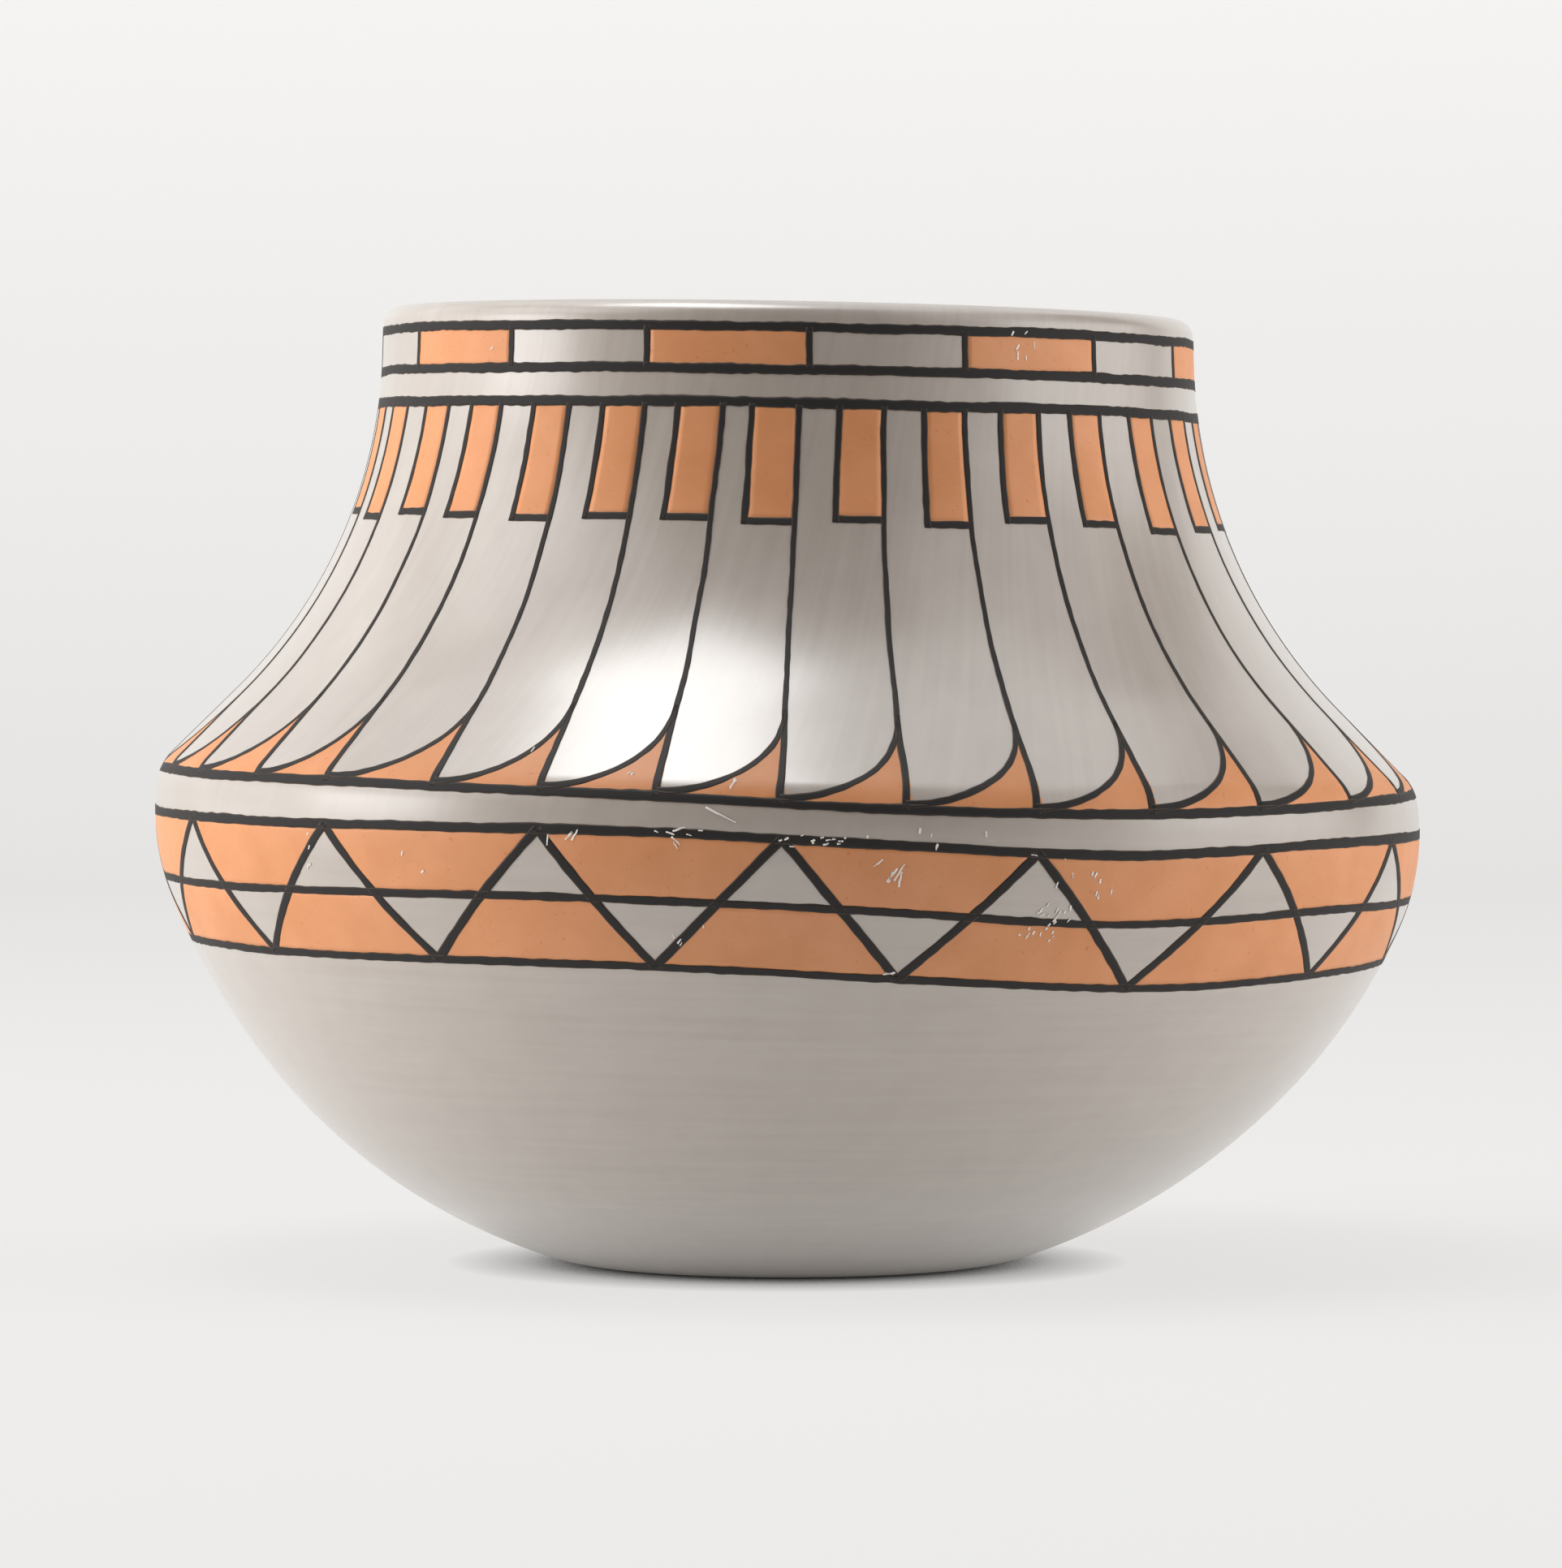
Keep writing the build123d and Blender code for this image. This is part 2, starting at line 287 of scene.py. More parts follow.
@dataclass
class JarOutline:
    """Outside of the jar from the middle of the foot, up over the lip and down inside the neck."""

    jar_height: float
    girdle_radius: float
    mouth_radius: float = 69.0
    neck_lean: float = 2.0
    neck_curve: float = 85.0
    shoulder_slope: float = 45.0
    keel_curve: float = 9.0
    girdle_rise: float = 6.2
    girdle_curve: float = 40.0
    girdle_height: float = 75.7
    underbody_curve: float = 105.0
    foot_curve: float = 36.0
    foot_radius: float = 31.0
    wall: float = 6.0
    inside_reach: float = 30.0
    pole_radius: float = 0.5
    bend_detail: float = 30.0

    def __post_init__(self) -> None:
        """Works out the stretches and the tables that place() reads."""
        self.stretches = self.chain(self.legs())
        fields = ("start", "lean", "bend", "radius", "height")
        self.table = {name: np.array([getattr(s, name) for s in self.stretches]) for name in fields}
        _, _, _, girdle, keel, _, _, _, lip, _, _ = self.stretches
        self.lip_foot = lip.start
        self.lip_end = lip.start + lip.length
        self.widest = girdle.start - girdle.lean / girdle.bend
        self.keel_line = keel.start + keel.length / 2
        self.pole = self.pole_radius - self.foot_radius

    def underbody_centre(self) -> Array:
        """Places the underbody's arc, which touches the arcs of the foot and the girdle.

        Returns:
            Radius and height of its centre.
        """
        foot = np.array([self.foot_radius, self.foot_curve])
        girdle = np.array([self.girdle_radius - self.girdle_curve, self.girdle_height])
        from_foot = self.underbody_curve - self.foot_curve
        from_girdle = self.underbody_curve - self.girdle_curve
        apart = float(np.linalg.norm(girdle - foot))
        along = (from_foot**2 - from_girdle**2 + apart**2) / (2 * apart)
        aside = math.sqrt(from_foot**2 - along**2)
        way = (girdle - foot) / apart
        return foot + way * along + np.array([-way[1], way[0]]) * aside

    def legs(self) -> list[Pair]:
        """Works out the stretches, so that each runs on from the last without a corner.

        Returns:
            Length and bend of each stretch.
        """

        def arc(turn: float, radius: float) -> Pair:
            """Leg that turns by an angle in radians."""
            return abs(turn) * radius, math.copysign(1 / radius, turn)

        centre = self.underbody_centre()
        foot_turn = math.atan2(self.foot_curve - centre[1], self.foot_radius - centre[0])
        girdle_axis = self.girdle_radius - self.girdle_curve
        girdle_turn = math.atan2(self.girdle_height - centre[1], girdle_axis - centre[0])
        rise = math.radians(self.girdle_rise)
        slope = math.radians(self.shoulder_slope)
        neck = math.radians(self.neck_lean)
        lower = [
            (self.foot_radius, 0.0),
            arc(foot_turn + math.pi / 2, self.foot_curve),
            arc(girdle_turn - foot_turn, self.underbody_curve),
            arc(rise - girdle_turn, self.girdle_curve),
            arc(slope - rise, self.keel_curve),
        ]
        keel = self.chain([*lower, (0.0, 0.0)])[-1]
        lip = self.wall / 2
        gap_out = self.mouth_radius - keel.radius
        gap_up = self.jar_height - lip + lip * math.sin(neck) - keel.height
        spread = math.sin(neck - slope)
        shoulder_reach = (gap_out * math.cos(neck) + gap_up * math.sin(neck)) / spread
        neck_reach = -(math.sin(slope) * gap_up + math.cos(slope) * gap_out) / spread
        rounding = self.neck_curve * math.tan((slope - neck) / 2)
        neck_run = neck_reach - rounding
        upper = [
            (shoulder_reach - rounding, 0.0),
            arc(neck - slope, self.neck_curve),
            (neck_run, 0.0),
            arc(math.pi, lip),
            (neck_run, 0.0),
            (self.inside_reach, 1 / (self.neck_curve + self.wall)),
        ]
        return lower + upper

    def chain(self, legs: list[Pair]) -> list[Stretch]:
        """Stretches that run on from one another, from the middle of the foot.

        Args:
            legs: length and bend of each stretch.

        Returns:
            The stretches, with the edge of the foot at a distance of 0.
        """
        stretches = []
        start = -self.foot_radius
        lean = -math.pi / 2
        radius = 0.0
        height = 0.0
        for length, bend in legs:
            stretches.append(Stretch(start, length, lean, bend, radius, height))
            out, up = self.lead(lean, bend, length)
            radius += float(out)
            height += float(up)
            start += length
            lean += bend * length
        return stretches

    @staticmethod
    def lead(lean: Array | float, bend: Array | float, gone: Array | float) -> tuple[Array, Array]:
        """Works out where stretches lead.

        Args:
            lean: lean of each at its start.
            bend: bend of each.
            gone: way gone on each.

        Returns:
            How far they lead out and up.
        """
        straight = np.equal(bend, 0)
        curve = np.where(straight, 1.0, bend)
        turned = lean + bend * gone
        arc_out = (np.cos(turned) - np.cos(lean)) / curve
        arc_up = (np.sin(turned) - np.sin(lean)) / curve
        out = np.where(straight, -np.sin(lean) * gone, arc_out)
        up = np.where(straight, np.cos(lean) * gone, arc_up)
        return out, up

    def place(self, along: Array | float, out: Array | float = 0.0) -> tuple[Array, Array]:
        """Radius and height of places on the outline.

        Args:
            along: distances up the outside.
            out: how far the places lie out from the outline.

        Returns:
            Radii and heights.
        """
        along = np.asarray(along, float)
        number = np.clip(np.searchsorted(self.table["start"], along, side="right") - 1, 0, None)
        first = {name: values[number] for name, values in self.table.items()}
        gone = along - first["start"]
        lean = first["lean"] + first["bend"] * gone
        step_out, step_up = self.lead(first["lean"], first["bend"], gone)
        radius = first["radius"] + step_out + np.cos(lean) * out
        height = first["height"] + step_up + np.sin(lean) * out
        return radius, height

    def rows(self, low: float, high: float, step: float) -> Array:
        """Distances between two places, closer together where the outline bends sharply.

        Args:
            low: lower place.
            high: upper place.
            step: spacing where the outline is nearly straight.

        Returns:
            Distances from low to high.
        """
        parts = [np.array([low])]
        for stretch in self.stretches:
            start = max(low, stretch.start)
            end = min(high, stretch.start + stretch.length)
            if end <= start:
                continue
            spacing = step / (1 + self.bend_detail * abs(stretch.bend))
            count = max(1, math.ceil((end - start) / spacing))
            parts.append(np.linspace(start, end, count + 1)[1:])
        return np.concatenate(parts)


@dataclass(frozen=True)
class HandShaping:
    """What makes the jar look built by hand: its bands dip to the right and its wall is not quite round."""

    dip: float = 0.02
    rim_dip: float = 0.0165
    dip_foot: float = 8.0
    dip_full: float = 58.0
    rim_start: float = 105.0
    rim_full: float = 165.0
    wobble: float = 0.3
    oval_pitch: float = 60.0
    oval_turn: float = 0.6
    corner_share: float = 0.6
    corner_pitch: float = 45.0

    def shape(self, radius: Array, height: Array, angle: Array) -> Array:
        """Places points of the round jar in the hand-made one.

        Args:
            radius: distances from the axis.
            height: heights over the table.
            angle: angles round the jar.

        Returns:
            Points in metres, with three numbers in the last dimension.
        """
        turn = np.radians(angle)
        full = smooth_step(height, self.dip_foot, self.dip_full)
        rim = smooth_step(height, self.rim_start, self.rim_full)
        oval = np.sin(2 * turn + height / self.oval_pitch + self.oval_turn)
        corners = self.corner_share * np.sin(3 * turn - height / self.corner_pitch)
        out = radius + self.wobble * full * (oval + corners)
        x = out * np.sin(turn)
        y = -out * np.cos(turn)
        z = height - full * (self.dip + (self.rim_dip - self.dip) * rim) * x
        return np.stack([x, y, z], axis=-1) * MM


@dataclass(frozen=True)
class JarSurface:
    """The wall that every piece is laid on."""

    outline: JarOutline
    shaping: HandShaping

    def points(self, along: Array, angle: Array, out: Array | float) -> Array:
        """Finds points on the wall.

        Args:
            along: distances up the outside.
            angle: angles round the jar.
            out: heights over the wall.

        Returns:
            Points in metres.
        """
        along, angle, out = np.broadcast_arrays(along, angle, out)
        radius, height = self.outline.place(along, out)
        return self.shaping.shape(radius, height, angle)

    def radius(self, along: Array | float) -> Array:
        """Radius of the wall at distances up the outside."""
        return self.outline.place(along)[0]


class Piece:
    """Mesh of one piece, gathered from slabs and turned rings on the wall."""

    # Middle radius and skew of the polishing strokes, which climb to the right on the shoulder,
    # and how far from the keel line they begin and end to turn from level to upright
    STROKE_RADIUS = 90.0
    STROKE_SKEW = 0.27
    STROKE_LEVEL = -12.0
    STROKE_UPRIGHT = 4.0

    def __init__(self, name: str, surface: JarSurface) -> None:
        """Starts an empty piece.

        Args:
            name: name of the piece.
            surface: wall that it lies on.
        """
        self.name = name
        self.surface = surface
        self.points: list[Array] = []
        self.faces: list[list[int]] = []
        self.smooth: list[bool] = []
        self.values: dict[str, list[Array]] = {"edge": [], "above": [], "stroke_at": []}
        self.count = 0

    def grid(self, along: Array, angle: Array, out: Array | float, edge: Array | float = 0.0) -> Array:
        """Adds a grid of points and what the finishes read there.

        Args:
            along: distances up the outside.
            angle: angles round the jar.
            out: heights over the wall.
            edge: 1 at the thin edge of a painted line, 0 inside it.

        Returns:
            Numbers of the points, in the shape of the grid.
        """
        along, angle, out, edge = np.broadcast_arrays(along, angle, out, edge)
        numbers = self.count + np.arange(along.size).reshape(along.shape)
        self.points.append(self.surface.points(along, angle, out).reshape(-1, 3))
        keel = self.surface.outline.keel_line
        turn = np.radians(angle) - self.STROKE_SKEW * (along - keel) / self.STROKE_RADIUS
        right = np.sin(turn) * self.STROKE_RADIUS
        back = -np.cos(turn) * self.STROKE_RADIUS
        above = smooth_step(along, keel + self.STROKE_LEVEL, keel + self.STROKE_UPRIGHT)
        self.values["edge"].append(edge.ravel())
        self.values["above"].append(above.ravel())
        self.values["stroke_at"].append(np.stack([right, back, along], axis=-1).reshape(-1, 3))
        self.count += along.size
        return numbers

    def quads(
        self, numbers: Array, ring_rows: bool = False, ring_columns: bool = False, smooth: bool = False
    ) -> None:
        """Adds the faces between the points of a grid.

        Args:
            numbers: grid of point numbers, with columns to the right of the rows' way.
            ring_rows: whether the last row joins the first.
            ring_columns: whether the last column joins the first.
            smooth: whether the faces are shaded smooth.
        """
        if ring_rows:
            numbers = np.concatenate([numbers, numbers[:1]], axis=0)
        if ring_columns:
            numbers = np.concatenate([numbers, numbers[:, :1]], axis=1)
        corners = (numbers[:-1, :-1], numbers[:-1, 1:], numbers[1:, 1:], numbers[1:, :-1])
        faces = np.stack(corners, axis=-1).reshape(-1, 4).tolist()
        self.faces += faces
        self.smooth += [smooth] * len(faces)

    def slab(
        self, along: Array, angle: Array, top: float, bottom: float,
        edge: Array | float = 0.0, end: Edge = Edge.OPEN,
    ) -> None:
        """Adds a thin closed coat of paint.

        Args:
            along: grid of distances up the outside, with columns to the right of the rows' way.
            angle: grid of angles.
            top: height of the outer face over the wall.
            bottom: height of the inner face.
            edge: 1 at the thin edges of a painted line.
            end: whether the last row joins the first.
        """
        ring = end is Edge.RING
        upper = self.grid(along, angle, top, edge)
        lower = self.grid(along, angle, bottom, edge)
        both = np.stack([lower, upper])
        self.quads(upper, ring_rows=ring, smooth=True)
        for side in (lower[:, ::-1], both[:, :, 0].T, both[::-1, :, -1].T):
            self.quads(side, ring_rows=ring)
        if not ring:
            self.quads(both[:, 0])
            self.quads(both[::-1, -1])

    def turned(
        self, along: Array, out: Array, columns: int, capped: bool, folds: tuple[int, ...]
    ) -> None:
        """Adds a closed ring of clay from its cross section.

        Args:
            along: distances of the section's points, going up the outside and down the inside, by row
                or by row and column.
            out: how far each row lies out from the wall's outside.
            columns: number of points round the jar.
            capped: whether the section starts and ends near the axis and is closed by round caps.
            folds: rows after which the section turns sharply, whose strip of faces is left flat.
        """
        angle = np.arange(columns) * 360 / columns
        along = along if along.ndim == 2 else along[:, None]
        numbers = self.grid(along, angle[None, :], out[:, None])
        first = len(self.faces)
        self.quads(numbers, ring_rows=not capped, ring_columns=True, smooth=True)
        for row in folds:
            start = first + row * columns
            self.smooth[start : start + columns] = [False] * columns
        if capped:
            self.faces += [numbers[0, ::-1].tolist(), numbers[-1].tolist()]
            self.smooth += [False, False]

    def finish(self, material: Material, slot: Slot, replaced: str | None) -> None:
        """Makes the object, dresses it and puts it on the frame.

        Args:
            material: finish of the piece.
            slot: material slot of the record; not used.
            replaced: CAD node that it stands for, if any.
        """
        mesh = bpy.data.meshes.new(self.name)
        mesh.from_pydata(np.concatenate(self.points).tolist(), [], self.faces)
        mesh.polygons.foreach_set("use_smooth", self.smooth)
        for name, parts in self.values.items():
            values = np.concatenate(parts)
            kind, field = ("FLOAT_VECTOR", "vector") if values.ndim == 2 else ("FLOAT", "value")
            layer = mesh.attributes.new(name, kind, "POINT")
            layer.data.foreach_set(field, values.astype(np.float32).ravel())
        mesh.materials.append(material)
        mesh.update()
        item = add_object(self.name, mesh)
        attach(item, BODY)
        if replaced:
            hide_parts(replaced)
        log.info("%s: %d faces", self.name, len(self.faces))


@dataclass(frozen=True)
class BurnishedSlip:
    """Grey clay slip, rubbed with a smooth stone before firing.

    The stone packs the clay to a satin skin, so much of its paleness is sheen. Its narrow strokes show
    faintly, upright on the shoulder and level on the underbody.
    """

    dark: str = "#938981"
    pale: str = "#9f968d"
    ior: float = 1.6
    smoothest: float = 0.3
    roughest: float = 0.38
    skin: float = 1.0
    skin_ior: float = 1.75
    skin_roughness: float = 0.25
    stroke_width: float = 1.7
    stroke_length: float = 40.0
    mottle: float = 6.0
    mottle_share: float = 0.4
    span: Pair = (0.25, 0.75)

    def make(self) -> Material:
        """Builds the material.

        Returns:
            The finished material.
        """
        material, tree = new_material("grey_slip_stone_burnished")
        stroke = add_node(tree, "ShaderNodeAttribute", {}, attribute_name="stroke_at").outputs["Vector"]
        above = add_node(tree, "ShaderNodeAttribute", {}, attribute_name="above").outputs["Fac"]
        across = 1 / self.stroke_width
        length = 1 / self.stroke_length
        cloud = 1 / self.mottle
        scales = ((length, length, across), (across, across, length), (cloud, cloud, cloud))
        noises = []
        for scale in scales:
            place = add_node(tree, "ShaderNodeMapping", {"Vector": stroke, "Scale": scale})
            noise = {"Vector": place.outputs["Vector"], "Scale": 1.0, "Detail": 3.0, "Roughness": 0.5}
            noises.append(add_node(tree, "ShaderNodeTexNoise", noise).outputs["Fac"])
        level, upright, mottled = noises
        turned = {0: above, 2: level, 3: upright}
        streak = add_node(tree, "ShaderNodeMix", turned, data_type="FLOAT").outputs[0]
        mixed = {0: self.mottle_share, 2: streak, 3: mottled}
        amount = add_node(tree, "ShaderNodeMix", mixed, data_type="FLOAT").outputs[0]
        gloss = {0: streak, 1: self.span[0], 2: self.span[1], 3: self.smoothest, 4: self.roughest}
        finish = {
            "Base Color": two_tones(tree, amount, self.span, self.dark, self.pale),
            "Roughness": add_node(tree, "ShaderNodeMapRange", gloss).outputs[0],
            "IOR": self.ior,
            "Coat Weight": self.skin,
            "Coat IOR": self.skin_ior,
            "Coat Roughness": self.skin_roughness,
        }
        return end_material(material, finish)


@dataclass(frozen=True)
class OrangeSlip:
    """Orange clay slip, brushed on and rubbed lightly: nearly matte, a little cloudy, with red specks."""

    deep: str = "#b27549"
    pale: str = "#bc7f56"
    speck: str = "#ab5d36"
    ior: float = 1.5
    roughness: float = 0.48
    cloud: float = 9.0
    cloud_span: Pair = (0.3, 0.7)
    grain: float = 0.9
    speck_span: Pair = (0.66, 0.78)
    speck_cover: float = 0.7

    def make(self) -> Material:
        """Builds the material.

        Returns:
            The finished material.
        """
        material, tree = new_material("orange_slip_brushed_matte")
        cloud = grain_at(tree, self.cloud, detail=4.0, roughness=0.6)
        ground = two_tones(tree, cloud, self.cloud_span, self.deep, self.pale)
        grain = grain_at(tree, self.grain, detail=2.0, roughness=0.5)
        cover = {0: grain, 1: self.speck_span[0], 2: self.speck_span[1], 4: self.speck_cover}
        share = add_node(tree, "ShaderNodeMapRange", cover).outputs[0]
        tones = {0: share, 6: ground, 7: to_linear(self.speck)}
        tone = add_node(tree, "ShaderNodeMix", tones, data_type="RGBA").outputs[2]
        return end_material(material, {"Base Color": tone, "Roughness": self.roughness, "IOR": self.ior})


@dataclass(frozen=True)
class MineralPaint:
    """Black mineral paint from a yucca brush: dense and dull, with a brown fringe where it runs out."""

    body: str = "#1f1c1b"
    fringe: str = "#4a3a2c"
    fringe_span: Pair = (0.55, 1.0)
    ior: float = 1.4
    roughness: float = 0.6

    def make(self) -> Material:
        """Builds the material.

        Returns:
            The finished material.
        """
        material, tree = new_material("black_mineral_paint_brushed")
        edge = add_node(tree, "ShaderNodeAttribute", {}, attribute_name="edge").outputs["Fac"]
        tone = two_tones(tree, edge, self.fringe_span, self.body, self.fringe)
        return end_material(material, {"Base Color": tone, "Roughness": self.roughness, "IOR": self.ior})


@dataclass(frozen=True)
class ScuffedSlip:
    """Slip where paint and polish are rubbed off: pale and dull."""

    tone: str = "#cdc6bf"
    ior: float = 1.45
    roughness: float = 0.7

    def make(self) -> Material:
        """Builds the material."""
        finish = {"Base Color": to_linear(self.tone), "Roughness": self.roughness, "IOR": self.ior}
        return end_material(new_material("grey_slip_scuffed")[0], finish)


@dataclass(frozen=True)
class BareClay:
    """Fired clay that was only wiped smooth by hand: matte and warm, with a fine temper grain."""

    dark: str = "#8d7a69"
    pale: str = "#a6937f"
    ior: float = 1.45
    roughness: float = 0.8
    grain: float = 1.2
    grain_span: Pair = (0.3, 0.7)
    relief: float = 0.15

    def make(self) -> Material:
        """Builds the material.

        Returns:
            The finished material.
        """
        material, tree = new_material("bare_clay_hand_wiped")
        grain = grain_at(tree, self.grain, detail=5.0, roughness=0.7)
        bump = add_node(tree, "ShaderNodeBump", {"Strength": self.relief, "Distance": MM, "Height": grain})
        finish = {
            "Base Color": two_tones(tree, grain, self.grain_span, self.dark, self.pale),
            "Roughness": self.roughness,
            "IOR": self.ior,
            "Normal": bump.outputs["Normal"],
        }
        return end_material(material, finish)


@dataclass
class ClayBody:
    """The base dish and the courses of coil, lapped as on the frame and wiped together inside."""

    surface: JarSurface
    clay: Material
    dish_reach: float = 55.0
    girdle_coil: float = 17.4
    lap: float = 6.0
    sunk: float = 0.35
    ripple: float = 0.3
    slip_room: Pair = (26.0, 20.0)
    dish_step: float = 4.0
    coil_step: float = 3.0
    columns: int = 160
    names: tuple[str, ...] = (
        "lower_coil_1", "lower_coil_2", "lower_coil_3", "girdle_coil", "shoulder_coil_1", "shoulder_coil_2",
        "neck_coil_1", "neck_coil_2", "rim_coil",
    )

    def seam(self, number: int) -> Pair:
        """Places a lapped seam.

        Args:
            number: number of the course over it.

        Returns:
            Its distances at the inside and at the outside.
        """
        outline = self.surface.outline
        girdle = self.names.index("girdle_coil")
        foot = outline.widest - self.girdle_coil / 2
        head = outline.widest + self.girdle_coil / 2
        if number > girdle:
            step = (outline.lip_foot - head) / (len(self.names) - girdle - 1)
            middle = head + (number - girdle - 1) * step
        else:
            middle = self.dish_reach + number * (foot - self.dish_reach) / girdle
        return middle - self.lap / 2, middle + self.lap / 2

    def inner_depth(self, along: Array, low: float, high: float) -> Array:
        """Shapes the inside wall, which swells a little over the middle of each course.

        Args:
            along: distances up the wall.
            low: lower end of the course.
            high: upper end of the course.

        Returns:
            How far the inside lies out from the outside, below zero.
        """
        outline = self.surface.outline
        swell = np.sin(math.pi * np.clip((along - low) / (high - low), 0, 1))
        low_room, high_room = (outline.lip_foot - drop for drop in self.slip_room)
        under_slip = self.sunk * smooth_step(along, low_room, high_room)
        return -outline.wall + self.ripple * (1 - swell) + under_slip

    def lay(self, name: str, outside: Array, inside: Array, inner: Array, capped: bool) -> None:
        """Builds one piece of clay.

        Args:
            name: CAD node that it stands for.
            outside: distances of its outside, going up.
            inside: distances of its inside, going down.
            inner: depths of its inside.
            capped: whether it reaches the axis.
        """
        along = np.concatenate([outside, inside])
        depth = np.concatenate([np.full(outside.size, -self.sunk), inner])
        folds = (outside.size - 1,) if capped else (outside.size - 1, along.size - 1)
        piece = Piece("clay_" + name, self.surface)
        piece.turned(along, depth, self.columns, capped, folds)
        piece.finish(self.clay, Slot.CLAY, name)

    def build_dish(self) -> None:
        """Builds the base dish with its flat foot and bevelled edge."""
        outline = self.surface.outline
        inner, outer = self.seam(0)
        outside = outline.rows(outline.pole, outer, self.dish_step)
        inside = outline.rows(outline.pole, inner, self.dish_step)[::-1]
        self.lay("base_dish", outside, inside, np.full(inside.size, -outline.wall), True)

    def build_coil(self, number: int) -> None:
        """Builds one course of coil. The last one ends in the round lip.

        Args:
            number: number of the course, counted up from the dish.
        """
        outline = self.surface.outline
        low_inner, low_outer = self.seam(number)
        last = number + 1 == len(self.names)
        high_inner, high_outer = (outline.lip_foot, outline.lip_end) if last else self.seam(number + 1)
        outside = outline.rows(low_outer, high_outer, self.coil_step)
        inside = outline.rows(low_inner, high_inner, self.coil_step)[::-1]
        inner = self.inner_depth(inside, low_inner, high_inner)
        self.lay(self.names[number], outside, inside, inner, False)

    def build(self) -> None:
        """Builds the dish and all courses."""
        self.build_dish()
        for number in range(len(self.names)):
            self.build_coil(number)


@dataclass
class SlipCoat:
    """The burnished grey coat over the whole outside, the lip and a thumb's breadth inside the neck."""

    surface: JarSurface
    slip: Material
    coat: float = 0.3
    inside_edge: float = 17.0
    ragged: float = 1.5
    waves: tuple[int, int] = (3, 24)
    columns: int = 256
    step: float = 2.6

    def build(self) -> None:
        """Builds the coat as one closed shell with an uneven edge inside the neck."""
        outline = self.surface.outline
        edge = outline.lip_end + self.inside_edge
        rows = outline.rows(outline.pole, edge, self.step)
        share = np.arange(self.columns) / self.columns
        inside = np.clip((rows - outline.lip_end) / self.inside_edge, 0, 1)
        stray = self.ragged * wander(share, *self.waves, Seed.SLIP_EDGE)
        along = rows[:, None] + inside[:, None] * stray[None, :]
        section = np.concatenate([along, along[::-1]])
        depth = np.concatenate([np.zeros(rows.size), np.full(rows.size, -self.coat)])
        piece = Piece("burnished_slip", self.surface)
        piece.turned(section, depth, self.columns, True, (rows.size - 1,))
        piece.finish(self.slip, Slot.CLAY, None)


@dataclass(frozen=True)
class Brush:
    """How paint is laid on the wall: fields of orange and lines of black, each a thin coat of its own.

    The edges of a line have fine and slow waves, which are so many steps long at the shortest.
    """

    surface: JarSurface
    orange_top: float = 0.04
    black_top: float = 0.08
    sunk: float = -0.15
    step: float = 0.8
    fine_wave: int = 4
    slow_wave: int = 25
    fine_share: float = 0.55
    slow_share: float = 0.6
    body_share: float = 0.55
    fewest_fine: int = 3
    fewest_slow: int = 2
    fewest_steps: int = 4

    def field(self, piece: Piece, low: Array, high: Array, angle: Array) -> None:
        """Lays a field of orange between a lower and an upper edge.

        Args:
            piece: piece that takes the field.
            low: distances of the lower edge, from its left corner to its right one.
            high: distances of the upper edge, as many.
            angle: grid of angles, with a row for each step up and a column for each place on the edges.
        """
        up = np.linspace(0, 1, angle.shape[0])[:, None]
        along = low[None, :] + (high - low)[None, :] * up
        piece.slab(along, angle, self.orange_top, self.sunk)

    def line(
        self, piece: Piece, along: Array, angle: Array, width: Array | float,
        ragged: float, seed: int, end: Edge = Edge.OPEN,
    ) -> None:
        """Draws a black line with slightly uneven edges.

        Args:
            piece: piece that takes the line.
            along: distances of the line's middle, closely spaced.
            angle: angles of the line's middle.
            width: mean width, for all the line or for each of its places.
            ragged: unevenness of each edge.
            seed: seed of the unevenness.
            end: whether the line runs all round the jar.
        """
        radius = self.surface.radius(along)
        if end is Edge.RING:
            way_right = np.ones(along.size)
            way_up = np.zeros(along.size)
        else:
            way_right = np.gradient(np.radians(angle)) * radius
            way_up = np.gradient(along)
        size = np.hypot(way_right, way_up)
        aside_right = way_up / size
        aside_up = -way_right / size
        count = along.size
        share = np.arange(count) / count
        fine = max(self.fewest_fine, count // self.fine_wave)
        slow = max(self.fewest_slow, count // self.slow_wave)
        edges = []
        for side in (0, 1):
            rough = self.fine_share * wander(share, 1, fine, seed + side)
            swerve = self.slow_share * wander(share, 1, slow, seed + side + 2)
            edges.append(ragged * (rough + swerve))
        half = np.broadcast_to(width, count) / 2
        left = edges[0] - half
        right = edges[1] + half
        aside = np.stack([left, left * self.body_share, right * self.body_share, right], axis=1)
        edge = np.broadcast_to(np.array([1.0, 0.0, 0.0, 1.0]), aside.shape)
        places = along[:, None] + aside_up[:, None] * aside
        angles = angle[:, None] + np.degrees(aside_right[:, None] * aside / radius[:, None])
        piece.slab(places, angles, self.black_top, self.sunk, edge, end)

    def stroke(self, piece: Piece, first: Pair, last: Pair, width: float, ragged: float, seed: int) -> None:
        """Draws a straight black stroke.

        Args:
            piece: piece that takes the stroke.
            first: distance and angle of one end.
            last: distance and angle of the other.
            width: mean width.
            ragged: unevenness of each edge.
            seed: seed of the unevenness.
        """
        radius = float(self.surface.radius(np.array([(first[0] + last[0]) / 2]))[0])
        length = math.hypot(last[0] - first[0], math.radians(last[1] - first[1]) * radius)
        steps = max(self.fewest_steps, math.ceil(length / self.step))
        share = np.linspace(0, 1, steps + 1)
        along = first[0] + (last[0] - first[0]) * share
        angle = first[1] + (last[1] - first[1]) * share
        self.line(piece, along, angle, width, ragged, seed)


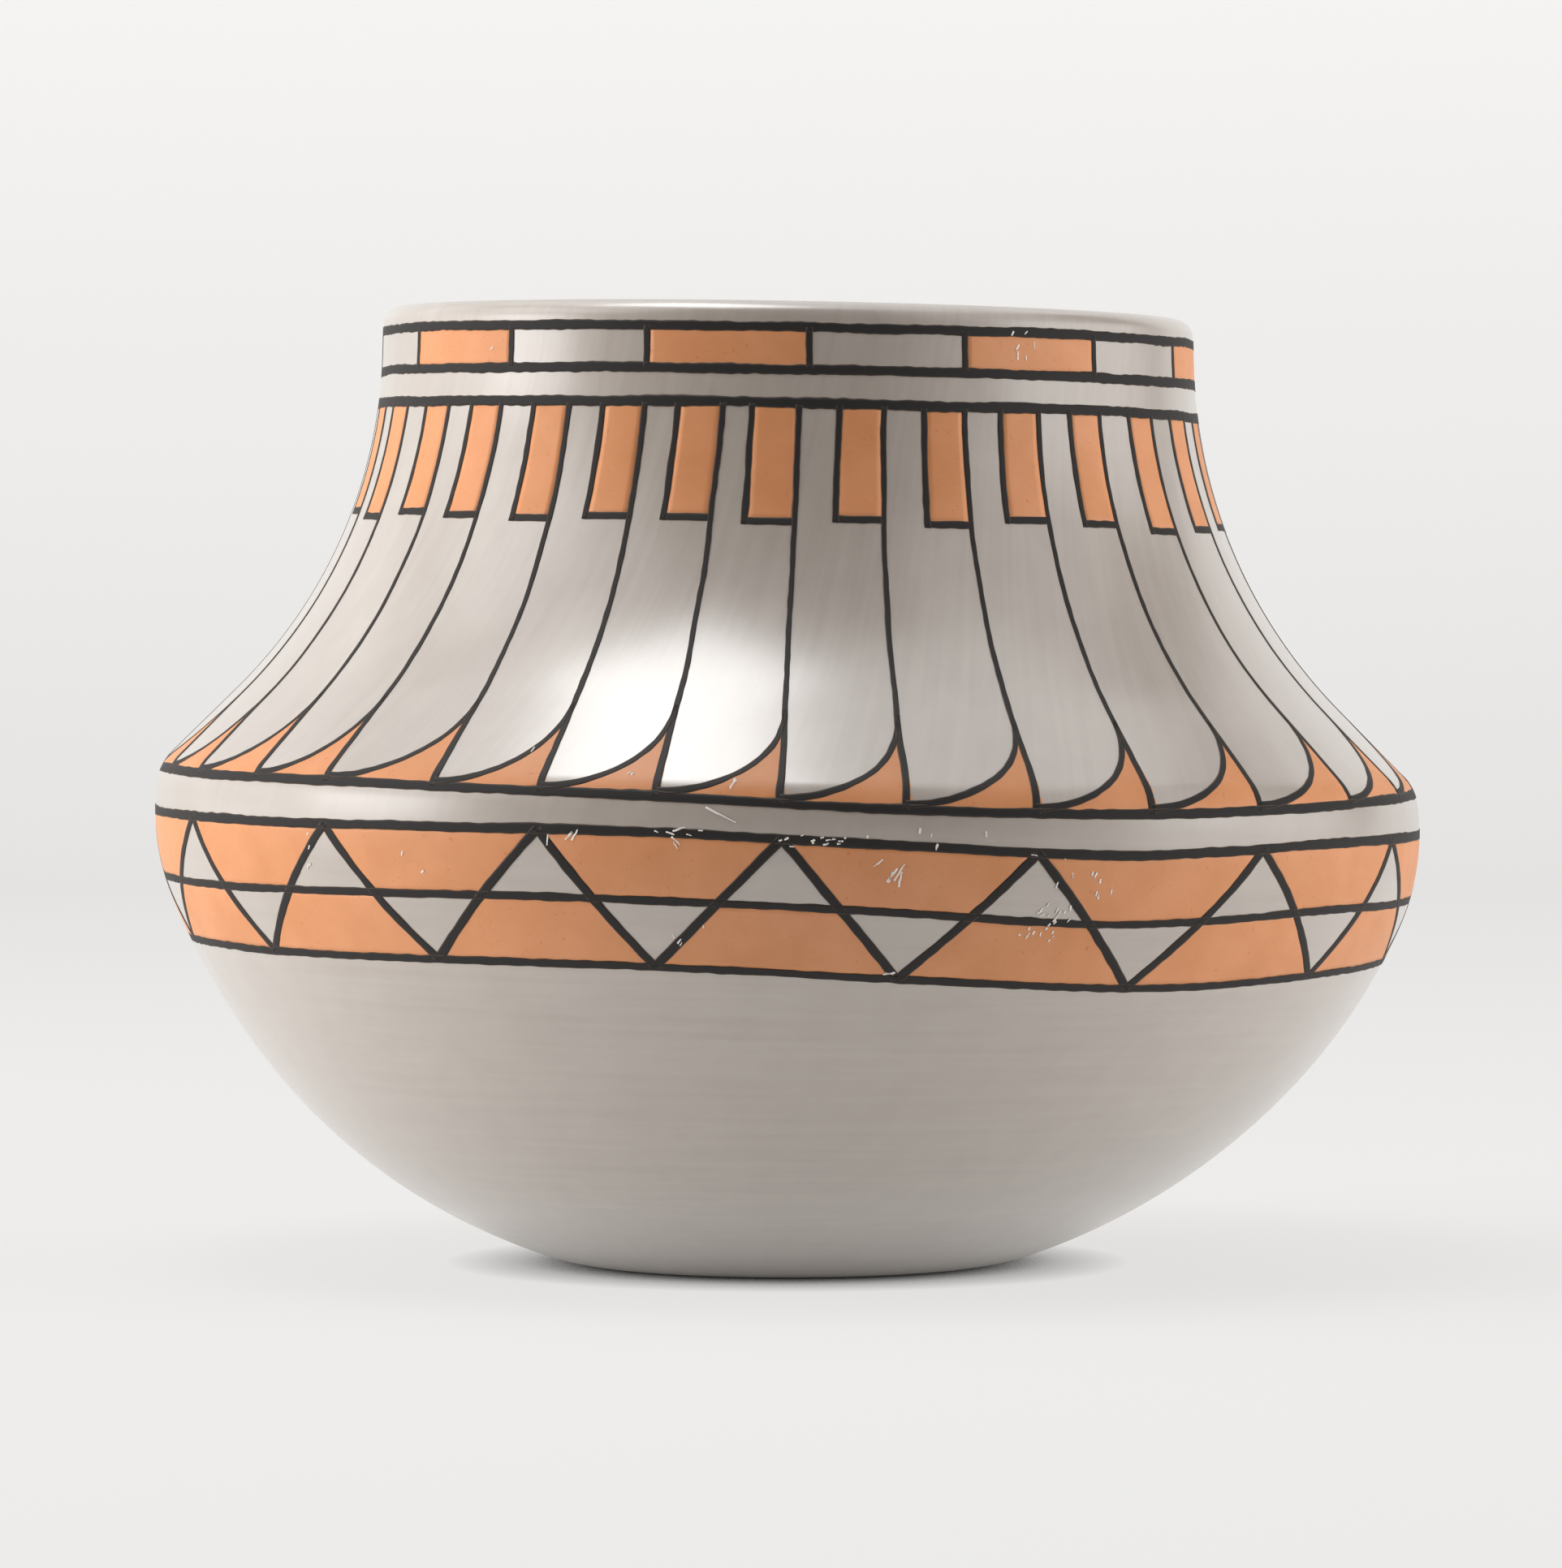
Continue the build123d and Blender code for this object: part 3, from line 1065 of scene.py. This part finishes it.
@dataclass(frozen=True)
class RingLine:
    """A line painted freehand round the jar. Each sway is the angle, rise and spread of a stray."""

    level: float
    width: float
    seed: int
    sways: tuple[Triple, ...] = ()
    waver: float = 0.13
    waves: tuple[int, int] = (2, 14)

    def at(self, angle: Array | float) -> Array:
        """Finds the line's middle.

        Args:
            angle: angles round the jar, or one of them.

        Returns:
            Distances up the wall.
        """
        turned = (np.asarray(angle, float) + 180) % 360 - 180
        along = self.level + self.waver * wander(turned / 360, *self.waves, self.seed)
        for middle, rise, spread in self.sways:
            along = along + rise * np.exp(-(((turned - middle) / spread) ** 2))
        return along

    def spot(self, angle: float) -> Pair:
        """Distance and angle of the line's middle at an angle."""
        return float(self.at(angle)), angle


@dataclass
class FramingLines:
    """The seven black lines that run round the jar and frame its bands."""

    surface: JarSurface
    brush: Brush
    black: Material
    rim_drop: float = 1.4
    block_drop: float = 8.3
    neck_drop: float = 13.8
    row: float = 11.2
    ragged: float = 0.16
    samples: int = 800
    seed_step: int = 10

    def __post_init__(self) -> None:
        """Lays out the lines."""
        lip = self.surface.outline.lip_foot
        girdle = self.surface.outline.widest
        keel_sways = ((28.0, -2.6, 38.0),)
        girdle_sways = ((-18.0, 0.9, 24.0), (29.0, -1.9, 19.0))
        panel_sways = ((-18.0, 1.2, 26.0), (30.0, -1.9, 18.0))
        foot_sways = ((-20.0, 0.9, 24.0), (36.0, -2.2, 24.0))
        keel = self.surface.outline.keel_line
        self.rim = RingLine(lip - self.rim_drop, width=1.6, seed=40)
        self.block = RingLine(lip - self.block_drop, width=1.65, seed=41)
        self.neck = RingLine(lip - self.neck_drop, width=1.75, seed=42)
        self.keel = RingLine(keel, width=1.65, seed=43, sways=keel_sways)
        self.girdle = RingLine(girdle, width=1.6, seed=44, sways=girdle_sways)
        self.panel = RingLine(girdle - self.row, width=1.35, seed=45, sways=panel_sways)
        self.foot = RingLine(girdle - 2 * self.row, width=1.4, seed=46, sways=foot_sways)

    def build(self) -> None:
        """Draws the lines."""
        piece = Piece("painted_framing_lines", self.surface)
        angle = np.arange(self.samples) * 360 / self.samples
        for line in (self.rim, self.block, self.neck, self.keel, self.girdle, self.panel, self.foot):
            seed = self.seed_step * line.seed
            self.brush.line(piece, line.at(angle), angle, line.width, self.ragged, seed, Edge.RING)
        piece.finish(self.black, Slot.BLACK, "black_framing_lines")


@dataclass
class Band:
    """What each painted band is laid on, drawn with and painted in."""

    surface: JarSurface
    brush: Brush
    lines: FramingLines
    orange: Material
    black: Material


@dataclass
class RimBand(Band):
    """Orange and grey blocks under the lip, divided by upright lines."""

    seen: tuple[float, ...] = (-62.3, -40.6, -19.2, 2.9, 24.8, 47.2, 69.4)
    count: int = 16
    divider: float = 1.1
    ragged: float = 0.07
    across: int = 20
    up: int = 6

    def build(self) -> None:
        """Lays every other block and draws the dividers."""
        sides = all_round(self.seen, self.count)
        blocks = Piece("painted_rim_blocks", self.surface)
        dividers = Piece("painted_rim_dividers", self.surface)
        for left, right in zip(sides[0::2], sides[1::2]):
            edge = np.linspace(left, right, self.across)
            angle = np.broadcast_to(edge, (self.up, self.across))
            self.brush.field(blocks, self.lines.block.at(edge), self.lines.rim.at(edge), angle)
        for number, side in enumerate(sides):
            low = self.lines.block.spot(side)
            high = self.lines.rim.spot(side)
            seed = Seed.DIVIDERS + SEEDS_PER_LINE * number
            self.brush.stroke(dividers, low, high, self.divider, self.ragged, seed)
        blocks.finish(self.orange, Slot.ORANGE, "orange_rim_blocks")
        dividers.finish(self.black, Slot.BLACK, "black_rim_dividers")


@dataclass
class FeatherBand(Band):
    """Feathers that hang down neck and shoulder: shafts, orange bars and orange tips beside round lobes."""

    tops: tuple[float, ...] = (
        -75.1, -64.6, -52.7, -41.8, -30.3, -19.2, -8.6, 1.6, 13.0, 24.5, 36.1, 47.6, 60.2, 72.3
    )
    bottoms: tuple[float, ...] = (
        -75.6, -65.7, -54.2, -44.1, -31.9, -21.5, -11.3, -0.7, 9.9, 21.5, 32.6, 45.2, 59.6, 72.7
    )
    count: int = 32
    shaft: float = 1.25
    shaft_samples: int = 96
    shaft_share: float = 0.66
    foot_swell: float = 0.4
    head_swell: float = 0.16
    swell_power: int = 4
    stray: float = 0.1
    stray_waves: tuple[int, int] = (1, 4)
    bow: float = 0.25
    side: float = 1.05
    side_samples: int = 28
    bar_turn: float = 6.0
    turn_spread: float = 0.3
    bar_length: float = 19.6
    length_spread: float = 0.7
    bar_rows: int = 15
    bar_columns: int = 6
    tip_foot: float = 0.9
    tip_rise: float = 18.5
    tip_start: int = 3
    tip_rows: int = 10
    curve_samples: int = 44
    curve_taper: Pair = (1.05, 0.65)
    ragged: float = 0.09

    def __post_init__(self) -> None:
        """Works out the angles of all shafts at both ends, and the way from keel to neck."""
        self.high = all_round(self.tops, self.count)
        self.low = all_round(self.bottoms, self.count)
        self.whole = self.lines.neck.level - self.lines.keel.level

    def shaft_angle(self, number: int, share: Array) -> Array:
        """Follows a shaft as the hand drew it.

        Args:
            number: number of the shaft. After the last one they start again, a full turn on.
            share: shares of the way from the keel up to the neck.

        Returns:
            Angles at the shares.
        """
        turns, number = divmod(number, self.count)
        straight = self.low[number] + (self.high[number] - self.low[number]) * share
        stray = self.stray * wander(share, *self.stray_waves, Seed.SHAFT_STRAY + number)
        return 360 * turns + straight + stray - self.bow * np.sin(math.pi * share)

    def lobe(self, number: int) -> tuple[Array, Array]:
        """Follows the curve between two shafts.

        Args:
            number: number of the left shaft.

        Returns:
            Distances and angles along the curve.
        """
        swing = np.linspace(0, math.pi / 2, self.curve_samples)
        rise = self.tip_foot + self.tip_rise * (1 - np.cos(swing))
        left = self.shaft_angle(number, rise / self.whole)
        right = self.shaft_angle(number + 1, rise / self.whole)
        angle = left + (right - left) * np.sin(swing)
        return self.lines.keel.at(angle) + rise, angle

    def build_shafts(self) -> None:
        """Draws the shafts, which are widest at the foot and thinnest half way up."""
        shafts = Piece("painted_feather_shafts", self.surface)
        share = np.linspace(0, 1, self.shaft_samples)
        foot_swell = self.foot_swell * (1 - share) ** self.swell_power
        head_swell = self.head_swell * share**self.swell_power
        width = self.shaft * (self.shaft_share + foot_swell + head_swell)
        for number in range(self.count):
            angle = self.shaft_angle(number, share)
            foot = self.lines.keel.at(angle[0])
            head = self.lines.neck.at(angle[-1])
            along = foot + (head - foot) * share
            seed = Seed.SHAFTS + SEEDS_PER_LINE * number
            self.brush.line(shafts, along, angle, width, self.ragged, seed)
        shafts.finish(self.black, Slot.BLACK, "black_feather_shafts")

    def build_bars(self) -> None:
        """Lays the orange bars and draws their outlines."""
        bars = Piece("painted_feather_bars", self.surface)
        outlines = Piece("painted_bar_outlines", self.surface)
        rng = np.random.default_rng(Seed.BARS)
        for number in range(self.count):
            length = self.bar_length + rng.uniform(-self.length_spread, self.length_spread)
            turn = self.bar_turn + rng.uniform(-self.turn_spread, self.turn_spread)
            right = self.shaft_angle(number, np.linspace(1 - length / self.whole, 1, self.bar_rows))
            left = right - turn
            head = self.lines.neck.at(np.linspace(left[-1], right[-1], self.bar_columns))
            foot = head - length
            self.brush.field(bars, foot, head, np.linspace(left, right, self.bar_columns, axis=1))
            down = np.linspace(head[0], foot[0] - self.shaft / 2, self.side_samples)
            side = np.linspace(left[-1], left[0], self.side_samples)
            offset = SEEDS_PER_LINE * number
            self.brush.line(outlines, down, side, self.side, self.ragged, Seed.BAR_SIDES + offset)
            first = (float(foot[0]), float(left[0]))
            last = (float(foot[-1]), float(right[0]))
            self.brush.stroke(outlines, first, last, self.shaft, self.ragged, Seed.BAR_FEET + offset)
        bars.finish(self.orange, Slot.ORANGE, "orange_feather_bars")
        outlines.finish(self.black, Slot.BLACK, "black_bar_outlines")

    def build_tips(self) -> None:
        """Lays the orange tips in upright strips and draws the lobes' curves."""
        tips = Piece("painted_feather_tips", self.surface)
        curves = Piece("painted_tip_curves", self.surface)
        width = self.shaft * np.linspace(*self.curve_taper, self.curve_samples)
        for number in range(self.count):
            along, angle = self.lobe(number)
            seed = Seed.TIP_CURVES + SEEDS_PER_LINE * number
            self.brush.line(curves, along, angle, width, self.ragged, seed)
            under = angle[self.tip_start :]
            strips = np.broadcast_to(under, (self.tip_rows, under.size))
            self.brush.field(tips, self.lines.keel.at(under), along[self.tip_start :], strips)
        tips.finish(self.orange, Slot.ORANGE, "orange_feather_tips")
        curves.finish(self.black, Slot.BLACK, "black_tip_curves")

    def build(self) -> None:
        """Builds the shafts, bars and tips."""
        self.build_shafts()
        self.build_bars()
        self.build_tips()


@dataclass
class GirdleBand(Band):
    """Two rows of orange panels below the widest level, divided by a zigzag."""

    peaks_seen: tuple[float, ...] = (-65.5, -43.6, -21.5, -0.5, 21.5, 45.2, 68.4)
    troughs_seen: tuple[float, ...] = (-78.1, -55.0, -33.0, -11.8, 9.7, 32.2, 56.9)
    count: int = 16
    zigzag: float = 1.5
    ragged: float = 0.1
    across: int = 26
    up: int = 9

    def __post_init__(self) -> None:
        """Works out the angles of all peaks and troughs, each trough to the left of its peak.

        The first ones come again at the end, after a full turn.
        """
        peaks = all_round(self.peaks_seen, self.count)
        seen = len(self.troughs_seen)
        hidden = (peaks[seen - 1 : -1] + peaks[seen:]) / 2
        troughs = np.concatenate([np.array(self.troughs_seen), hidden])
        self.peaks = np.append(peaks, peaks[0] + 360)
        self.troughs = np.append(troughs, troughs[0] + 360)

    def panel(self, piece: Piece, low: RingLine, high: RingLine, feet: Pair, heads: Pair) -> None:
        """Lays one panel between two lines.

        Args:
            piece: piece that takes the panel.
            low: line under the panel.
            high: line over it.
            feet: angles of its lower corners, left and right.
            heads: angles of its upper corners.
        """
        foot = low.at(np.linspace(*feet, self.across))
        head = high.at(np.linspace(*heads, self.across))
        left, right = (np.linspace(*ends, self.up) for ends in zip(feet, heads))
        self.brush.field(piece, foot, head, np.linspace(left, right, self.across, axis=1))

    def build(self) -> None:
        """Lays the panels and draws the zigzag."""
        panels = Piece("painted_girdle_panels", self.surface)
        zigzag = Piece("painted_zigzag", self.surface)
        lines = self.lines
        for number in range(self.count):
            trough, next_trough = self.troughs[number : number + 2]
            peak, next_peak = self.peaks[number : number + 2]
            rising = (trough + peak) / 2
            falling = (peak + next_trough) / 2
            next_rising = (next_trough + next_peak) / 2
            self.panel(panels, lines.panel, lines.girdle, (falling, next_rising), (peak, next_peak))
            self.panel(panels, lines.foot, lines.panel, (trough, next_trough), (rising, falling))
            corners = (lines.foot.spot(trough), lines.girdle.spot(peak), lines.foot.spot(next_trough))
            for leg in (0, 1):
                seed = Seed.ZIGZAG + SEEDS_PER_LINE * (2 * number + leg)
                self.brush.stroke(zigzag, corners[leg], corners[leg + 1], self.zigzag, self.ragged, seed)
        panels.finish(self.orange, Slot.ORANGE, "orange_girdle_panels")
        zigzag.finish(self.black, Slot.BLACK, "black_zigzag")


@dataclass(frozen=True)
class Scuff:
    """A patch of scratches: its angle, drop below a line and spreads, and their number, length and lean."""

    angle: float
    drop: float
    spread: float
    depth: float
    count: int
    length: float
    lean: float


@dataclass
class Wear:
    """Scratches and chips from use, mostly where the jar is widest and has been handled."""

    surface: JarSurface
    lines: FramingLines
    scuffed: Material
    top: float = 0.11
    step: float = 0.3
    ragged: float = 0.08
    lengths: Pair = (0.5, 1.4)
    widths: Pair = (0.14, 0.32)
    lean_spread: float = 14.0
    seeds_per_patch: int = 100
    belly: tuple[Scuff, ...] = (
        Scuff(1.6, 0.0, 1.7, 0.5, 16, 0.6, 15.0),
        Scuff(-9.6, -0.4, 1.3, 0.3, 6, 1.2, 0.0),
        Scuff(-8.8, 1.5, 0.5, 0.4, 2, 2.4, -50.0),
        Scuff(-18.2, 1.3, 0.8, 0.6, 4, 1.7, 62.0),
        Scuff(9.6, 4.2, 1.3, 1.2, 5, 2.3, 62.0),
        Scuff(26.6, 4.5, 1.1, 1.4, 7, 0.7, 80.0),
        Scuff(23.3, 10.0, 0.8, 2.2, 16, 0.9, 62.0),
        Scuff(21.8, 13.2, 1.1, 0.8, 9, 0.6, 62.0),
        Scuff(21.6, 0.3, 0.8, 0.3, 3, 0.4, 10.0),
        Scuff(-7.8, 17.0, 0.9, 1.0, 4, 0.8, 75.0),
        Scuff(8.8, 21.3, 0.4, 0.2, 2, 1.5, 5.0),
        Scuff(-5.8, -3.4, 0.1, 0.1, 1, 5.0, -22.0),
        Scuff(10.4, -2.0, 3.6, 0.8, 5, 0.8, 70.0),
        Scuff(-4.7, -8.6, 0.2, 0.3, 2, 2.2, 60.0),
        Scuff(-13.2, -9.8, 0.4, 0.3, 2, 0.7, 30.0),
        Scuff(-23.4, -14.2, 0.2, 0.3, 1, 1.2, 60.0),
        Scuff(-38.0, 2.5, 8.0, 4.0, 6, 0.8, 60.0),
        Scuff(118.0, 1.0, 5.0, 2.0, 14, 1.1, 60.0),
        Scuff(-128.0, 2.0, 6.0, 3.0, 12, 1.2, 62.0),
        Scuff(172.0, 8.0, 5.0, 4.0, 12, 1.0, 60.0),
    )
    rim: tuple[Scuff, ...] = (
        Scuff(-44.0, 3.6, 0.4, 0.3, 1, 1.2, 40.0),
        Scuff(33.0, 2.6, 2.6, 1.6, 6, 1.1, 65.0),
        Scuff(150.0, 2.0, 4.0, 1.2, 6, 1.0, 60.0),
    )

    def scratch(self, piece: Piece, brush: Brush, line: RingLine, scuff: Scuff, seed: int) -> None:
        """Draws the scratches of one patch.

        Args:
            piece: piece that takes them.
            brush: brush that draws them.
            line: line that the patch is measured from.
            scuff: the patch.
            seed: seed of their places.
        """
        rng = np.random.default_rng(seed)
        for number in range(scuff.count):
            angle = scuff.angle + scuff.spread * rng.normal()
            along = float(line.at(angle)) - scuff.drop + scuff.depth * rng.normal()
            half = scuff.length * rng.uniform(*self.lengths) / 2
            lean = math.radians(scuff.lean + self.lean_spread * rng.normal())
            rise = half * math.sin(lean)
            turn = math.degrees(half * math.cos(lean) / float(self.surface.radius(along)))
            width = rng.uniform(*self.widths)
            first = (along - rise, angle - turn)
            last = (along + rise, angle + turn)
            brush.stroke(piece, first, last, width, self.ragged, seed + SEEDS_PER_LINE * number)

    def build(self) -> None:
        """Draws all patches as one thin layer over the paint."""
        piece = Piece("worn_scratches", self.surface)
        brush = Brush(self.surface, black_top=self.top, step=self.step)
        patches = [(self.lines.girdle, scuff) for scuff in self.belly]
        patches += [(self.lines.rim, scuff) for scuff in self.rim]
        for number, (line, scuff) in enumerate(patches):
            self.scratch(piece, brush, line, scuff, Seed.SCRATCHES + self.seeds_per_patch * number)
        piece.finish(self.scuffed, Slot.CLAY, None)


@dataclass(frozen=True)
class Softbox:
    """A rectangular studio light that points at the jar. The jar's polish shows it if it is mirrored."""

    name: str
    place: Triple
    width: float
    height: float
    power: float
    mirrored: bool = True

    def build(self, aim: Triple) -> None:
        """Hangs the light and turns it to the jar.

        Args:
            aim: point that it faces, in metres.
        """
        data = bpy.data.lights.new(self.name, "AREA")
        data.shape = "RECTANGLE"
        data.size = self.width
        data.size_y = self.height
        data.energy = self.power
        item = add_object(self.name, data)
        item.location = self.place
        way = np.array(self.place) - np.array(aim)
        level = math.hypot(way[0], way[1])
        item.rotation_euler = (math.atan2(level, way[2]), 0.0, math.atan2(way[0], -way[1]))
        item.visible_camera = False
        item.visible_glossy = self.mirrored
        log.info("%s", self.name)


@dataclass
class Studio:
    """Pale paper sweep, soft boxes and the camera."""

    paper: str = "#cfcecc"
    shade: str = "#5a5a5a"
    depth: float = 1.6
    front: float = -2.5
    reach: float = 2.5
    bend: float = 0.6
    bend_steps: int = 17
    rise: float = 2.4
    room: str = "#f2f1ef"
    glow_low: float = 0.79
    glow_high: float = 0.95
    glow_rise: float = 0.5
    # Reach, softness and rays of the painted contact shadow: ambient occlusion that dims the paper's glow
    # by the jar's foot
    painted_shadow_reach: float = 0.008
    painted_shadow_softness: float = 0.35
    painted_shadow_rays: int = 8
    sensor: float = 36.0
    lens: float = 177.02
    camera_place: Triple = (-0.0011, -1.319, 0.1166)
    camera_fall: float = 1.513
    aim: Triple = (0.0, 0.0, 0.09)
    lights: tuple[Softbox, ...] = (
        Softbox("softbox_over", (0.0, 0.3, 1.6), 2.2, 1.8, 16.5),
        Softbox("softbox_key", (-0.22, -0.15, 1.15), 0.6, 0.44, 4.5),
        Softbox("softbox_left", (-1.24, 0.17, 0.6), 1.7, 1.3, 6.6),
        Softbox("softbox_left_low", (-1.75, 0.05, 0.36), 1.8, 0.7, 47.0, False),
        Softbox("softbox_left_front", (-1.55, -0.39, 0.33), 0.9, 0.4, 2.4),
        Softbox("softbox_left_high", (-0.97, -0.35, 0.96), 1.2, 0.8, 2.8),
        Softbox("softbox_right", (1.75, 0.05, 0.46), 1.8, 0.8, 3.8),
        Softbox("softbox_right_low", (1.75, 0.05, 0.36), 1.8, 0.7, 34.0, False),
        Softbox("softbox_right_front", (1.5, -0.75, 0.46), 1.6, 0.8, 1.3),
        Softbox("softbox_right_high", (0.97, -0.35, 0.96), 1.2, 0.8, 1.9),
        Softbox("paper_bounce", (0.0, 0.0, 0.0005), 1.6, 1.6, 2.0, False),
    )

    def build_sweep(self) -> None:
        """Builds the paper that runs from under the jar up behind it."""
        turns = np.linspace(0, math.pi / 2, self.bend_steps)
        depths = [self.front, *(self.depth + self.bend * np.sin(turns)), self.depth + self.bend]
        heights = [0.0, *(self.bend * (1 - np.cos(turns))), self.rise]
        points = [(side * self.reach, y, z) for y, z in zip(depths, heights) for side in (-1, 1)]
        faces = [(2 * n, 2 * n + 1, 2 * n + 3, 2 * n + 2) for n in range(len(depths) - 1)]
        mesh = bpy.data.meshes.new("paper_sweep")
        mesh.from_pydata(points, [], faces)
        mesh.polygons.foreach_set("use_smooth", [True] * len(faces))
        mesh.materials.append(self.paper_material())
        item = add_object("paper_sweep", mesh)
        log.info("paper_sweep")

    def paper_material(self) -> Material:
        """Matte white paper that looks evenly lit, takes the jar's soft shadow from the lamps and carries a
        painted contact shadow.

        Light that reaches the jar comes from plain paper. The camera and the jar's polish see a paler,
        glowing one, whose glow rises up the sweep and is dimmed by ambient occlusion close to the jar's
        foot, which is a painted contact shadow.

        Returns:
            The material.
        """
        material, tree = new_material("backdrop_paper_matte")
        plain = add_node(tree, "ShaderNodeBsdfDiffuse", {"Color": to_linear(self.paper)})
        shaded = add_node(tree, "ShaderNodeBsdfDiffuse", {"Color": to_linear(self.shade)})
        place = add_node(tree, "ShaderNodeNewGeometry", {})
        height = add_node(tree, "ShaderNodeSeparateXYZ", {0: place.outputs["Position"]})
        level = {0: height.outputs["Z"], 2: self.glow_rise, 3: self.glow_low, 4: self.glow_high}
        rise = add_node(tree, "ShaderNodeMapRange", level)
        # Painted contact shadow: ambient occlusion dims the glow where the jar's foot comes close to the
        # paper
        near = {"Distance": self.painted_shadow_reach}
        unoccluded_share = add_node(tree, "ShaderNodeAmbientOcclusion", near, samples=self.painted_shadow_rays)
        power = {0: unoccluded_share.outputs["AO"], 1: self.painted_shadow_softness}
        painted_contact_shadow = add_node(tree, "ShaderNodeMath", power, operation="POWER")
        glow_with_painted_shadow = {0: rise.outputs[0], 1: painted_contact_shadow.outputs[0]}
        strength = add_node(tree, "ShaderNodeMath", glow_with_painted_shadow, operation="MULTIPLY")
        glow = {"Color": to_linear(self.room), "Strength": strength.outputs[0]}
        bright = add_node(tree, "ShaderNodeEmission", glow)
        seen = add_node(tree, "ShaderNodeAddShader", {0: shaded.outputs[0], 1: bright.outputs[0]})
        path = add_node(tree, "ShaderNodeLightPath", {}).outputs
        looking = path["Is Camera Ray"]
        for ray in ("Is Glossy Ray", "Is Transmission Ray"):
            either = {0: looking, 1: path[ray]}
            looking = add_node(tree, "ShaderNodeMath", either, operation="MAXIMUM").outputs[0]
        papers = {0: looking, 1: plain.outputs[0], 2: seen.outputs[0]}
        shader = add_node(tree, "ShaderNodeMixShader", papers)
        add_node(tree, "ShaderNodeOutputMaterial", {"Surface": shader.outputs["Shader"]})
        return material

    def build_room(self) -> None:
        """Makes the room beyond the paper look as pale as the paper, without lighting the jar."""
        world = bpy.data.worlds.new("pale_room")
        bpy.context.scene.world = world
        world.use_nodes = True
        tree = world.node_tree
        tree.nodes.clear()
        path = add_node(tree, "ShaderNodeLightPath", {})
        seen = {0: path.outputs["Is Camera Ray"], 1: self.glow_high}
        strength = add_node(tree, "ShaderNodeMath", seen, operation="MULTIPLY")
        glow = {"Color": to_linear(self.room), "Strength": strength.outputs[0]}
        shader = add_node(tree, "ShaderNodeBackground", glow)
        add_node(tree, "ShaderNodeOutputWorld", {"Surface": shader.outputs["Background"]})

    def build_camera(self) -> None:
        """Sets the camera where the photo was taken from."""
        data = bpy.data.cameras.new("camera")
        data.sensor_fit = "VERTICAL"
        data.sensor_height = self.sensor
        data.lens = self.lens
        data.dof.use_dof = False
        item = add_object("camera", data)
        item.location = self.camera_place
        item.rotation_euler = (math.radians(90 - self.camera_fall), 0.0, 0.0)
        bpy.context.scene.camera = item

    def build(self) -> None:
        """Builds the sweep, the room, the lights and the camera."""
        bpy.context.scene.view_settings.view_transform = "Standard"
        self.build_sweep()
        self.build_room()
        for light in self.lights:
            light.build(self.aim)
        self.build_camera()


def main() -> None:
    """Builds the jar and its studio, with the jar's height and girdle radius read from the frame."""
    logging.basicConfig(level=logging.INFO, format="%(message)s")
    outline = JarOutline(
        jar_height=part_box("rim_coil")[1].z / MM,
        girdle_radius=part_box("girdle_coil")[1].x / MM,
    )
    surface = JarSurface(outline, HandShaping())
    slip = BurnishedSlip().make()
    orange = OrangeSlip().make()
    black = MineralPaint().make()
    clay = BareClay().make()
    brush = Brush(surface)
    ClayBody(surface, clay).build()
    SlipCoat(surface, slip).build()
    lines = FramingLines(surface, brush, black)
    lines.build()
    RimBand(surface, brush, lines, orange, black).build()
    FeatherBand(surface, brush, lines, orange, black).build()
    GirdleBand(surface, brush, lines, orange, black).build()
    Wear(surface, lines, ScuffedSlip().make()).build()
    Studio().build()


if __name__ == "__main__":
    main()
